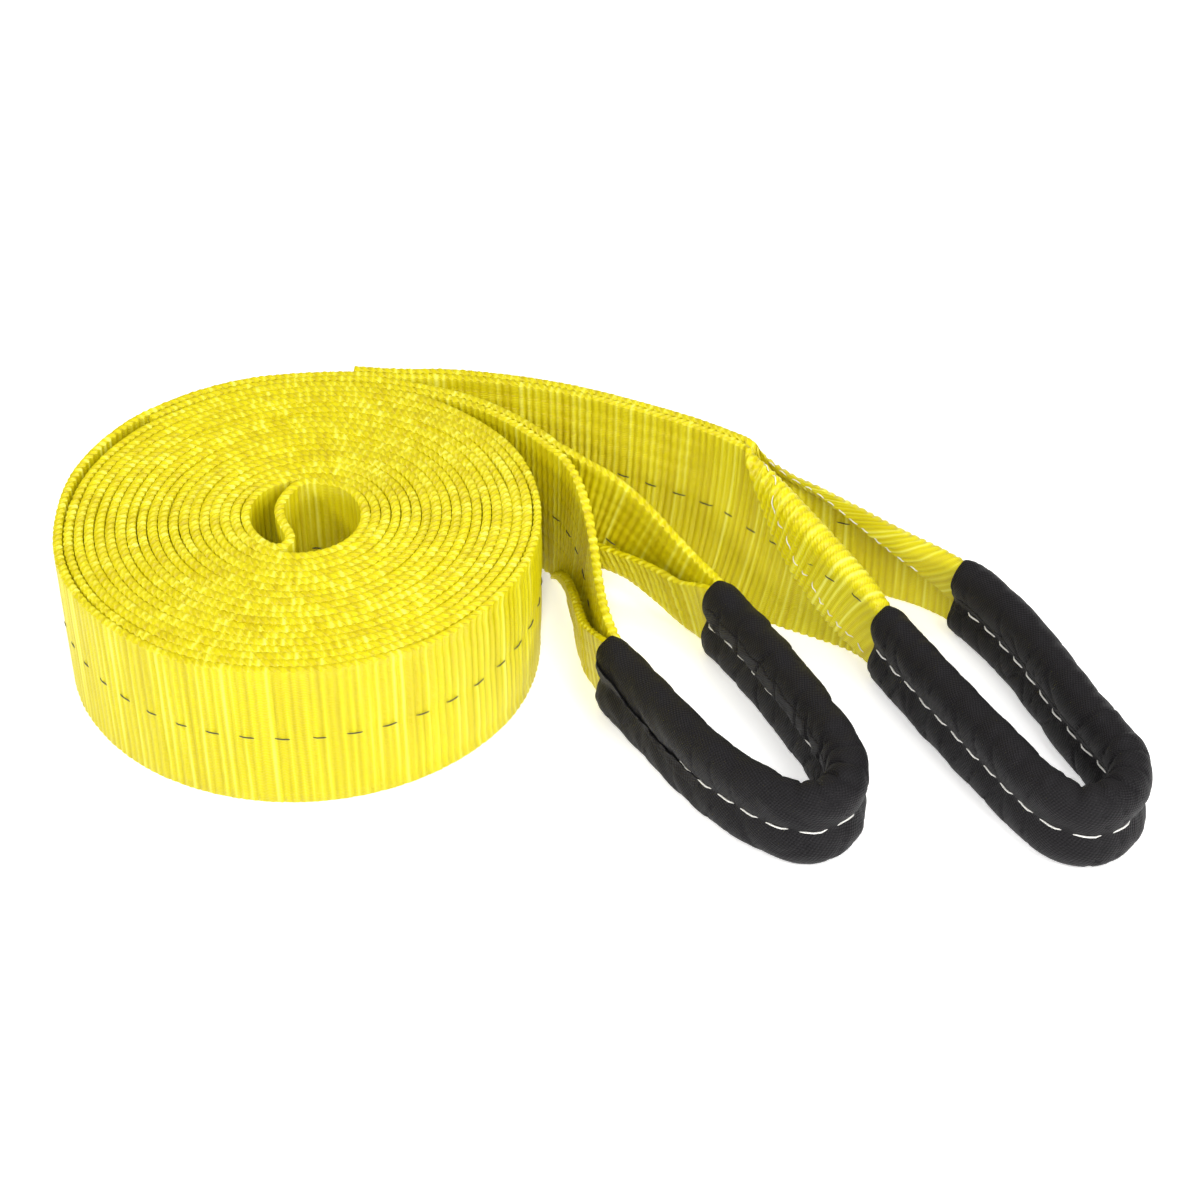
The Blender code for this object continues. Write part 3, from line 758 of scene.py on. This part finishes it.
class Sleeve:
    """A fabric sleeve on an eye's route: two soft lobes with the seam's groove between."""

    def __init__(self, eye):
        self.eye = eye
        self.first = eye.sleeve_start - 1.5
        self.last = eye.sleeve_end + 1.5
        self.seed = SLEEVE_SEED[eye.side]
        self.crown = eye.nearest(SLEEVE_CROWN[eye.side])

    def section(self, level):
        """Half thickness and height at a level from -1, the bottom, to 1, the top, without wrinkles."""
        height = SLEEVE_HEIGHT / 2 * (1 + np.sin(level * math.pi / 2))
        lower = SLEEVE_HEIGHT * 0.257
        reach = np.minimum(np.abs(height - lower), np.abs(height - (SLEEVE_HEIGHT - lower))) / lower
        lobes = SLEEVE_LOBE * np.sqrt(np.clip(1 - reach ** 2, 0, 1))
        waist = SLEEVE_SEAM * np.exp(-((height - SEAM_HEIGHT) / 8.5) ** 4)
        half = (lobes ** 5 + waist ** 5) ** 0.2
        return half, height

    def position(self, u, level, side, out=0.0):
        """A point on the sleeve: along the route, at a level up one side, and so far off its face."""
        u, level, side, out = np.broadcast_arrays(*(np.asarray(x, float) for x in (u, level, side, out)))
        half, height = self.section(level)
        from_seam = height - SEAM_HEIGHT
        to_crown = u - self.crown
        at_crown = np.exp(-(to_crown / CROWN_REACH) ** 2)
        pucker = -PUCKER * np.cos(2 * np.pi * (u - self.first) / SEAM_PITCH) ** 2
        pucker = pucker * np.exp(-(from_seam / 4) ** 2)
        bold = np.clip(0.5 + 0.5 * wander(u + 3 * side, 45, self.seed + 2), 0, 1)
        away = ramp(np.abs(from_seam), 1, 6)
        wrinkle = 0.35 * wander(u + 1.4 * height, 26, self.seed + 3)
        for k, (pitch, lean, drift, length, sharpness, depth) in enumerate(SLEEVE_FOLDS):
            turns = (u + lean * np.abs(from_seam)) / pitch + drift * wander(u, length, self.seed + k)
            wrinkle = wrinkle - away * depth * sharp_crest(turns) ** sharpness * (bold, 1 - bold)[k]
        turns = to_crown / CREASE_PITCH + 0.01 * from_seam + 0.35 * wander(height, 18, self.seed + 4)
        crumple = sharp_crest(turns)
        depth, fullness = (np.where(side > 0, *pair) for pair in (CREASE_DEPTH, CREASE_FULLNESS))
        wrinkle = wrinkle + (fullness - depth * crumple ** 3.5) * at_crown * away
        half = half + (pucker + wrinkle) * ramp(half, 0, 4)
        uneven = 0.7 * wander(u, 30, self.seed + 5) + 0.5 * wander(u, 13, self.seed + 6)
        top = ramp(level, 0.3, 1) * (uneven - 2.2 * at_crown * crumple ** 2.5)
        bottom = ramp(-level, 0.3, 1) * (0.5 + 0.6 * wander(u, 28, self.seed + 7))
        end = 1.2 * ramp(u, self.last - 5, self.last) + 1.2 * (1 - ramp(u, self.first, self.first + 5))
        half = half - end * ramp(half, 0, 4)
        z = height + top + bottom
        point, normal = self.eye.plan(u)
        across = side * (half + out * np.cos(level * math.pi / 2) ** 0.5)
        z = z + out * np.sin(level * math.pi / 2) * 0.8
        return stand(point, normal, across, z, 0.08)

    def shell(self, name, material):
        """The sleeve as a closed shell: its outer face, and its inner face one wall further in."""
        u = np.linspace(self.first, self.last, round((self.last - self.first) / SLEEVE_STEP))
        levels = np.linspace(-1, 1, SLEEVE_AROUND // 2, endpoint=False) + 1.0 / (SLEEVE_AROUND // 2)
        level = np.concatenate([levels, levels[::-1]])
        side = np.concatenate([np.ones(len(levels)), -np.ones(len(levels))])
        outer = self.position(u[:, None], level[None, :], side[None, :])
        inner = self.position(u[:, None], level[None, :], side[None, :], -SLEEVE_WALL)
        rings = np.concatenate([outer, inner[::-1]])
        around = np.cumsum(np.concatenate([[0], np.linalg.norm(np.diff(outer[5], axis=0), axis=1)]))
        uv_outer = np.stack(np.broadcast_arrays(u[:, None], around[None, :]), axis=-1)
        uv = np.concatenate([uv_outer, uv_outer[::-1]])
        quads = grid_faces(len(rings), SLEEVE_AROUND)
        j = np.arange(SLEEVE_AROUND)
        k = (j + 1) % SLEEVE_AROUND
        last = (len(rings) - 1) * SLEEVE_AROUND
        closing = np.stack([last + j, last + k, k, j], axis=-1)
        return make_mesh(name, rings, np.concatenate([quads, closing]), [], uv, material)

    def level_at(self, height):
        return np.arcsin(np.clip(height / (SLEEVE_HEIGHT / 2) - 1, -1, 1)) * 2 / math.pi

    def seam(self, name, side, material, skip, rise):
        """White stitches along one face of the seam. Their ends go down into the fabric."""
        pieces = []
        uvs = []
        for u0 in np.arange(self.first + 3 + skip, self.last - 3, SEAM_PITCH):
            if u0 + SEAM_STITCH > self.last:
                continue
            u = u0 + (CAPSULE_ALONG + 1) / 2 * SEAM_STITCH
            height = SEAM_HEIGHT + 0.5 * wander(u, 60, self.seed + 8)
            level = self.level_at(height)
            arch = 0.55 + rise - 1.05 * np.abs(CAPSULE_ALONG) ** 3
            line = self.position(u, level, side, arch)
            out = unit(self.position(u, level, side, 1.0) - self.position(u, level, side, 0.0))
            pieces.append(stitch(line, sideways(line, out), out, STITCH_RADIUS))
            uvs.append(stitch_uv(SEAM_STITCH, STITCH_RADIUS))
        return many(name, pieces, uvs, material)

    def edge_strip(self, name, side, first, last, height_at, reach, material):
        """The fabric's own cut edge, which laps over the seam: a thin strip, loose along one side."""
        u = np.linspace(first, last, round((last - first) / 1.2))
        share = np.linspace(0, 1, 7)
        edge = height_at(u)
        wave = 0.5 + 0.5 * wander(u, 15, self.seed + 9)
        heights = edge[:, None] + reach * (1 - share[None, :])
        lift = 0.15 + share[None, :] ** 4 * (0.3 + 1.0 * np.clip(wave, 0, 1)[:, None])
        kept = window(u, first, first + 6, last - 12, last)
        lift = lift * kept[:, None] - 0.5 * (1 - share)
        level = self.level_at(heights)
        top = self.position(u[:, None], level, side, lift + 0.45)
        under = self.position(u[:, None], level, side, lift - 0.3)
        rings = np.concatenate([top, under[:, ::-1]], axis=1)
        span = np.concatenate([share, share[::-1]]) * abs(reach)
        uv = np.stack(np.broadcast_arrays(u[:, None], span[None, :]), axis=-1)
        return skin(name, rings, uv, material)


# ---------------------------------------------------------------- materials

class Nodes:
    """Short calls for building a material's node tree."""

    def __init__(self, name):
        self.material = bpy.data.materials.new(name)
        self.material.use_nodes = True
        self.tree = self.material.node_tree
        self.shader = self.tree.nodes["Principled BSDF"]

    def add(self, kind, **settings):
        node = self.tree.nodes.new(kind)
        for key, value in settings.items():
            setattr(node, key, value)
        return node

    def link(self, source, target):
        self.tree.links.new(source, target)

    def math(self, operation, a, b=None):
        node = self.add("ShaderNodeMath", operation=operation)
        for socket, value in zip(node.inputs, (a, b)):
            if value is None:
                continue
            if isinstance(value, (int, float)):
                socket.default_value = value
            else:
                self.link(value, socket)
        return node.outputs[0]

    def plus(self, *parts):
        total = parts[0]
        for part in parts[1:]:
            total = self.math("ADD", total, part)
        return total

    def times(self, a, b):
        return self.math("MULTIPLY", a, b)

    def less(self, a, b):
        return self.math("SUBTRACT", a, b)

    def uv(self):
        """The place along and across the cloth, in metres."""
        parts = self.add("ShaderNodeSeparateXYZ")
        self.link(self.add("ShaderNodeUVMap", uv_map="UVMap").outputs[0], parts.inputs[0])
        return parts.outputs[0], parts.outputs[1]

    def noise(self, scale, detail=3.0, stretch=None):
        node = self.add("ShaderNodeTexNoise")
        node.inputs["Scale"].default_value = scale
        node.inputs["Detail"].default_value = detail
        mapping = self.add("ShaderNodeMapping")
        mapping.inputs["Scale"].default_value = stretch or (1, 1, 1)
        self.link(self.add("ShaderNodeUVMap", uv_map="UVMap").outputs[0], mapping.inputs[0])
        self.link(mapping.outputs[0], node.inputs["Vector"])
        return node.outputs["Fac"]

    def wave(self, distance, pitch, offset_by=None):
        """A sine from 0 to 1 along a distance, both in metres."""
        turns = self.math("MULTIPLY", distance, 2 * math.pi / pitch)
        if offset_by is not None:
            turns = self.math("ADD", turns, offset_by)
        return self.math("MULTIPLY_ADD", self.math("SINE", turns), 0.5)

    def mix(self, factor, dark, light):
        node = self.add("ShaderNodeMix", data_type="RGBA")
        self.link(factor, node.inputs[0])
        for socket, value in ((node.inputs[6], dark), (node.inputs[7], light)):
            if isinstance(value, tuple):
                socket.default_value = (*value, 1.0)
            else:
                self.link(value, socket)
        return node.outputs[2]

    def bump(self, height, distance, strength=1.0):
        node = self.add("ShaderNodeBump")
        node.inputs["Distance"].default_value = distance
        node.inputs["Strength"].default_value = strength
        self.link(height, node.inputs["Height"])
        self.link(node.outputs[0], self.shader.inputs["Normal"])

    def constants(self, **values):
        for key, value in values.items():
            self.shader.inputs[key.replace("_", " ")].default_value = value


def yellow_web():
    """Shiny polyester yarns that run along the web and bind over its ribs, with painted shade in the rib
    grooves and a painted highlight on the crests of some ribs.
    """
    n = Nodes("woven_yellow_web")
    along, across = n.uv()
    wobble = n.times(n.noise(900.0, 2.0, (1, 0.35, 1)), 5.0)
    yarn = n.wave(across, 0.00092, wobble)
    filament = n.noise(2600.0, 2.0, (0.16, 1, 1))
    ribs_apart = n.less(n.noise(230.0, 2.0, (1, 0.03, 1)), 0.5)
    blotch = n.less(n.noise(40.0, 3.0, (1, 0.3, 1)), 0.5)
    crest = n.math("COSINE", n.times(along, 2000 * math.pi / RIB_PITCH))
    # Tone: random tone along the ribs, in blotches and in the yarns, plus painted shade that is lighter on
    # each rib's crest and darker in its groove
    tone = n.plus(n.times(crest, 0.15), 0.5, n.times(ribs_apart, 1.5), n.times(blotch, 0.5),
                  n.times(n.less(filament, 0.5), 0.5), n.times(n.less(yarn, 0.5), 0.22))
    colour = n.mix(tone, *WEB_COLOURS)
    # Painted highlight: a pale colour mixed onto the crests of some ribs
    painted_highlight = n.less(n.plus(n.times(crest, 0.35), n.times(ribs_apart, 2.4)), 0.25)
    n.link(n.mix(n.math("MAXIMUM", painted_highlight, 0.0), colour, WEB_PAINTED_HIGHLIGHT), n.shader.inputs["Base Color"])
    n.constants(Roughness=0.33, Sheen_Weight=0.01, Sheen_Roughness=0.4, Specular_IOR_Level=0.32)
    n.shader.inputs["Sheen Tint"].default_value = (1.0, 0.95, 0.35, 1.0)
    n.bump(n.plus(n.times(yarn, 0.9), n.times(filament, 0.6)), 0.00022, 0.8)
    return n.material


def black_fabric():
    """Coarse plain-woven nylon: a fine grid of yarn crossings with a grey bloom."""
    n = Nodes("plain_woven_black")
    along, across = n.uv()
    warp = n.wave(n.plus(along, n.times(across, 0.5)), 0.00125)
    weft = n.wave(n.less(n.times(along, 0.5), across), 0.00125)
    grid = n.times(n.plus(warp, 0.5), n.plus(weft, 0.5))
    fuzz = n.noise(700.0, 3.0)
    patch = n.noise(45.0, 4.0)
    tone = n.plus(n.times(grid, 0.8), n.times(n.less(patch, 0.5), 0.5), n.times(n.less(fuzz, 0.5), 0.5))
    n.link(n.mix(tone, *FABRIC_COLOURS), n.shader.inputs["Base Color"])
    n.constants(Roughness=0.55, Sheen_Weight=0.008, Sheen_Roughness=0.5, Specular_IOR_Level=0.14)
    n.bump(n.plus(grid, n.times(fuzz, 0.4)), 0.00022, 0.8)
    return n.material


def thread_material(name, colours):
    """Twisted sewing thread: a slanting twist and small changes of tone."""
    n = Nodes(name)
    twist = n.wave(n.plus(*n.uv()), 0.0009)
    tone = n.plus(n.times(twist, 0.5), n.times(n.noise(500.0), 0.5))
    n.link(n.mix(tone, *colours), n.shader.inputs["Base Color"])
    n.constants(Roughness=0.5, Sheen_Weight=0.2, Specular_IOR_Level=0.4)
    n.bump(twist, 0.0001, 0.6)
    return n.material


# ---------------------------------------------------------------- pieces and how they ride


def bend(piece):
    """A piece that crosses a hinge: its transform is baked into its mesh, and it is given no body."""
    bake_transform(piece)


def build_roll(band, web, marker):
    """The web inside the roll, in stretches, with the dashes that show in the core and outside."""
    low = band.at_x(ROOT_CUT["near"])
    high = band.at_x(ROOT_CUT["far"], from_end=True)
    core = band.nearest(FOLD_POINTS[1])
    last_turn = high - 2 * math.pi * LAST_TURN_RADIUS
    before_core, past_core = core - CORE_REACH, core + CORE_REACH
    inner_cut = (low + core) * 0.36
    outer_cut = (past_core + last_turn) / 2 + 300
    stretches = [("inner_ply_outer_turns", low, inner_cut, 3),
                 ("inner_ply_middle_turns", inner_cut, before_core, 3),
                 ("core_fold_web", before_core, past_core, 8),
                 ("outer_ply_inner_turns", past_core, outer_cut, 3),
                 ("outer_ply_outer_turns", outer_cut, last_turn, 3),
                 ("outer_ply_last_turn", last_turn, high, 12)]
    for name, first, last, steps in stretches:
        piece = web_piece(name, band, first, last, COIL_SAMPLES, steps, web)
        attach(piece, "roll")
        if name == "core_fold_web":
            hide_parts("web_roll")
    spots = {"outside": (last_turn - 30, high - 4), "in_core": (core - 120, core + 60)}
    for label, (first, last) in spots.items():
        piece = marker_dashes("roll_marker_" + label, band, dash_places(first, last), (-1, 1), marker)
        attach(piece, "roll")
    return low, high


def build_exits(side, band, low, high, web, marker):
    """From the roll to mid tail: the web and, beside it, the lap's end."""
    first, last = (0.0, low) if side == "near" else (high, band.length)
    main = web_piece(side + "_tail_web_out", band, first, last, FINE_SAMPLES, FINE_ROWS, web)
    bend(main)
    lap = Band(lap_route(side), {"near": 31, "far": 32}[side], FLARE_SIDE[side], quilted=True)
    lap_piece = web_piece(side + "_tail_lap_out", lap, 0.0, lap.length, FINE_SAMPLES, FINE_ROWS, web)
    bend(lap_piece)
    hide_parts(side + "_lap_end", side + "_tail_lap")
    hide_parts(side + "_tail_web")
    rows = (("tail", band, dash_places(first + 2, last - 2), (-1, 1)),
            ("lap", lap, dash_places(2, lap.length - 2), (1,)))
    for label, on, places, shares in rows:
        dashes = marker_dashes("%s_%s_marker_out" % (side, label), on, places, shares, marker)
        bend(dashes)
    return lap


def lap_stitches(name, band, first, last, share, material):
    """Rows of small stitches along the tail, one stitch to a rib."""
    rows = []
    for k, height in enumerate(row_heights()):
        for rib in range(math.ceil(first / band.pitch) + 1, int(last / band.pitch)):
            middle = (rib - 0.5) * band.pitch
            drift = 0.3 * math.sin(rib * 0.37 + k)
            rows.append(((middle - LAP_STITCH_HALF, height + drift),
                         (middle + LAP_STITCH_HALF, height + drift)))
    return web_stitches(name, band, rows, share, LAP_STITCH_RADIUS, material, rise=0.12, sink=0.45)


def build_lap_stitching(side, roll_band, lap, eye, yarn):
    """Lap stitching on both faces of a tail, in two lengths that meet at mid tail."""
    x_from = HINGES[side][0] - 2
    if side == "near":
        span, share = (0.5, roll_band.at_x(x_from)), 1
    else:
        span, share = (roll_band.at_x(x_from, from_end=True), roll_band.length - 0.5), -1
    spans = [("front_out", roll_band, span, share, 0),
             ("back_out", lap, (lap.at_x(x_from), lap.length - 0.5), 1, 0),
             ("front_in", eye, (0.5, eye.throat_out - 8), -1, 1),
             ("back_in", eye, (eye.throat_back + 8, eye.length - 0.5), -1, 1)]
    for label, band, (first, last), share, which in spans:
        piece = lap_stitches("%s_lap_stitches_%s" % (side, label), band, first, last, share, yarn)
        bend(piece)
        if label == "front_out":
            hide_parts(side + "_lap_stitching")


def fold_stitch_rows(eye, back):
    """White stitches beside the free edge of the folded half, from the throat to the sleeve."""
    if back:
        spots = np.arange(eye.throat_back - 16, eye.sleeve_end + 4, -FOLD_STITCH_PITCH)
    else:
        spots = np.arange(eye.throat_out + 16, eye.sleeve_start + 10, FOLD_STITCH_PITCH)
    step = -1 if back else 1
    rows = []
    for s in spots:
        length = FOLD_STITCH_LENGTH[0] + FOLD_STITCH_LENGTH[1] * hashed(round(s), 5)
        heights = WEB_WIDTH - FOLD_STITCH_INSET + 1.1 * wander(np.array([s, s + step * length]), 24, 12)
        rows.append(((s, heights[0]), (s + step * length, heights[1])))
    return rows


def build_eye(side, web, fabric, white, marker):
    """The folded web round an eye, its marker dashes, and the sleeve with its edges and seam."""
    eye = EyeBand(side)
    start, end = eye.sleeve_start + SLEEVED_RELIEF_END, eye.sleeve_end - SLEEVED_RELIEF_END
    front = web_piece(side + "_eye_web_band", eye, 0.0, start, FINE_SAMPLES, FINE_ROWS, web)
    back = web_piece(side + "_eye_web_return", eye, end, eye.length, FINE_SAMPLES, FINE_ROWS, web)
    inside = web_piece(side + "_eye_web_sleeved", eye, start, end, 2, 20, web)
    for part, length in ((front, start), (back, eye.length - end)):
        bend(part)
    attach(inside, side + "_eye")
    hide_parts(side + "_eye_web")
    spots = dash_places(4, eye.sleeve_start - 4)
    spots += [s for s in dash_places(eye.sleeve_end + 2, eye.length - 2) if eye.folded(s) < 0.6]
    dashes = marker_dashes(side + "_eye_marker", eye, spots, (-1, 1), marker)
    bend(dashes)
    sleeve = Sleeve(eye)
    shell = sleeve.shell(side + "_sleeve_fabric", fabric)
    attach(shell, side + "_eye")
    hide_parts(side + "_eye_sleeve")
    edges = sleeve_edges(side, sleeve, fabric)
    for edge in edges:
        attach(edge, side + "_eye")
    for face, label, skip, rise in SEAMS[side]:
        seam = sleeve.seam("%s_sleeve_seam_%s" % (side, label), face, white, skip, rise)
        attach(seam, side + "_eye")
        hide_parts("%s_sleeve_%s_thread" % (side, label))
    return eye


def sleeve_edges(side, sleeve, fabric):
    """The wrapped fabric's cut edges: wavy along the inner face, and askew at the near sleeve's start."""
    back_start = sleeve.crown + 18

    def wavy(u):
        return SEAM_HEIGHT + EDGE_OVER_SEAM[side] + 0.9 * wander(u, 22, sleeve.seed + 10)

    def askew(u):
        return SEAM_HEIGHT + 10.5 * (1 - ramp(u, sleeve.first, sleeve.first + 66)) + 0.4
    inner = sleeve.edge_strip(side + "_sleeve_edge_inner", 1, back_start, sleeve.last - 2, wavy, 8.0,
                              fabric)
    if side == "far":
        return [inner]
    outer = sleeve.edge_strip("near_sleeve_edge_outer", -1, sleeve.first + 1, sleeve.first + 80, askew,
                              -6.0, fabric)
    return [inner, outer]


# ---------------------------------------------------------------- camera, floor and light

def add_camera():
    """The photo's own camera."""
    data = bpy.data.cameras.new("camera")
    data.lens = FOCAL_LENGTH
    data.sensor_width = 36.0
    data.clip_end = 20.0
    camera = bpy.data.objects.new("camera", data)
    bpy.context.collection.objects.link(camera)
    angle = math.radians(CAMERA_ELEVATION)
    forward = Vector((0, math.cos(angle), -math.sin(angle)))
    target = Vector(to_frame(np.array(CAMERA_TARGET)))
    camera.location = target - forward * CAMERA_DISTANCE * MM
    camera.rotation_euler = forward.to_track_quat("-Z", "Y").to_euler()
    bpy.context.scene.camera = camera
    bpy.context.scene.view_settings.view_transform = "Standard"


def add_area(name, place, target, size, power):
    data = bpy.data.lights.new(name, "AREA")
    data.shape = "RECTANGLE"
    data.size, data.size_y = size
    data.energy = power
    light = bpy.data.objects.new(name, data)
    bpy.context.collection.objects.link(light)
    light.location = place
    light.rotation_euler = (Vector(target) - Vector(place)).to_track_quat("-Z", "Y").to_euler()


def add_stage():
    """A pale glowing floor, an even sky, and soft lamps round the front and the left."""
    bpy.ops.mesh.primitive_plane_add(size=14.0, location=(0, 0, 0))
    floor = bpy.context.object
    floor.name = "studio_floor"
    n = Nodes("pale_floor")
    n.constants(Roughness=0.9, Specular_IOR_Level=0.1)
    n.shader.inputs["Base Color"].default_value = (0.93, 0.93, 0.93, 1.0)
    n.shader.inputs["Emission Color"].default_value = (1.0, 1.0, 1.0, 1.0)
    n.shader.inputs["Emission Strength"].default_value = FLOOR_GLOW
    floor.data.materials.append(n.material)
    world = bpy.data.worlds.new("studio")
    world.use_nodes = True
    sky = world.node_tree.nodes["Background"]
    sky.inputs[0].default_value = SKY_COLOUR
    sky.inputs[1].default_value = SKY_STRENGTH
    bpy.context.scene.world = world
    for name, lamp in LAMPS.items():
        add_area(name, *lamp)


# ---------------------------------------------------------------- the whole

def main():
    """The whole scene: the roll, then each tail with its eye, sleeve and stitching."""
    add_camera()
    add_stage()
    web = yellow_web()
    fabric = black_fabric()
    marker = thread_material("black_marker_yarn", MARKER_COLOURS)
    white = thread_material("white_sewing_thread", WHITE_COLOURS)
    yarn = thread_material("yellow_sewing_thread", YARN_COLOURS)
    roll_band = Band(roll_route(), 1, flare_side=-1, quilted=True)
    low, high = build_roll(roll_band, web, marker)
    for side in ("near", "far"):
        lap = build_exits(side, roll_band, low, high, web, marker)
        eye = build_eye(side, web, fabric, white, marker)
        build_lap_stitching(side, roll_band, lap, eye, yarn)
        if side == "far":
            for back, label in ((False, "front"), (True, "back")):
                piece = web_stitches("far_%s_fold_stitches" % label, eye, fold_stitch_rows(eye, back), -1,
                                     FOLD_STITCH_RADIUS, white, rise=0.3, sink=0.5)
                bend(piece)
                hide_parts("far_%s_fold_thread" % label)


main()
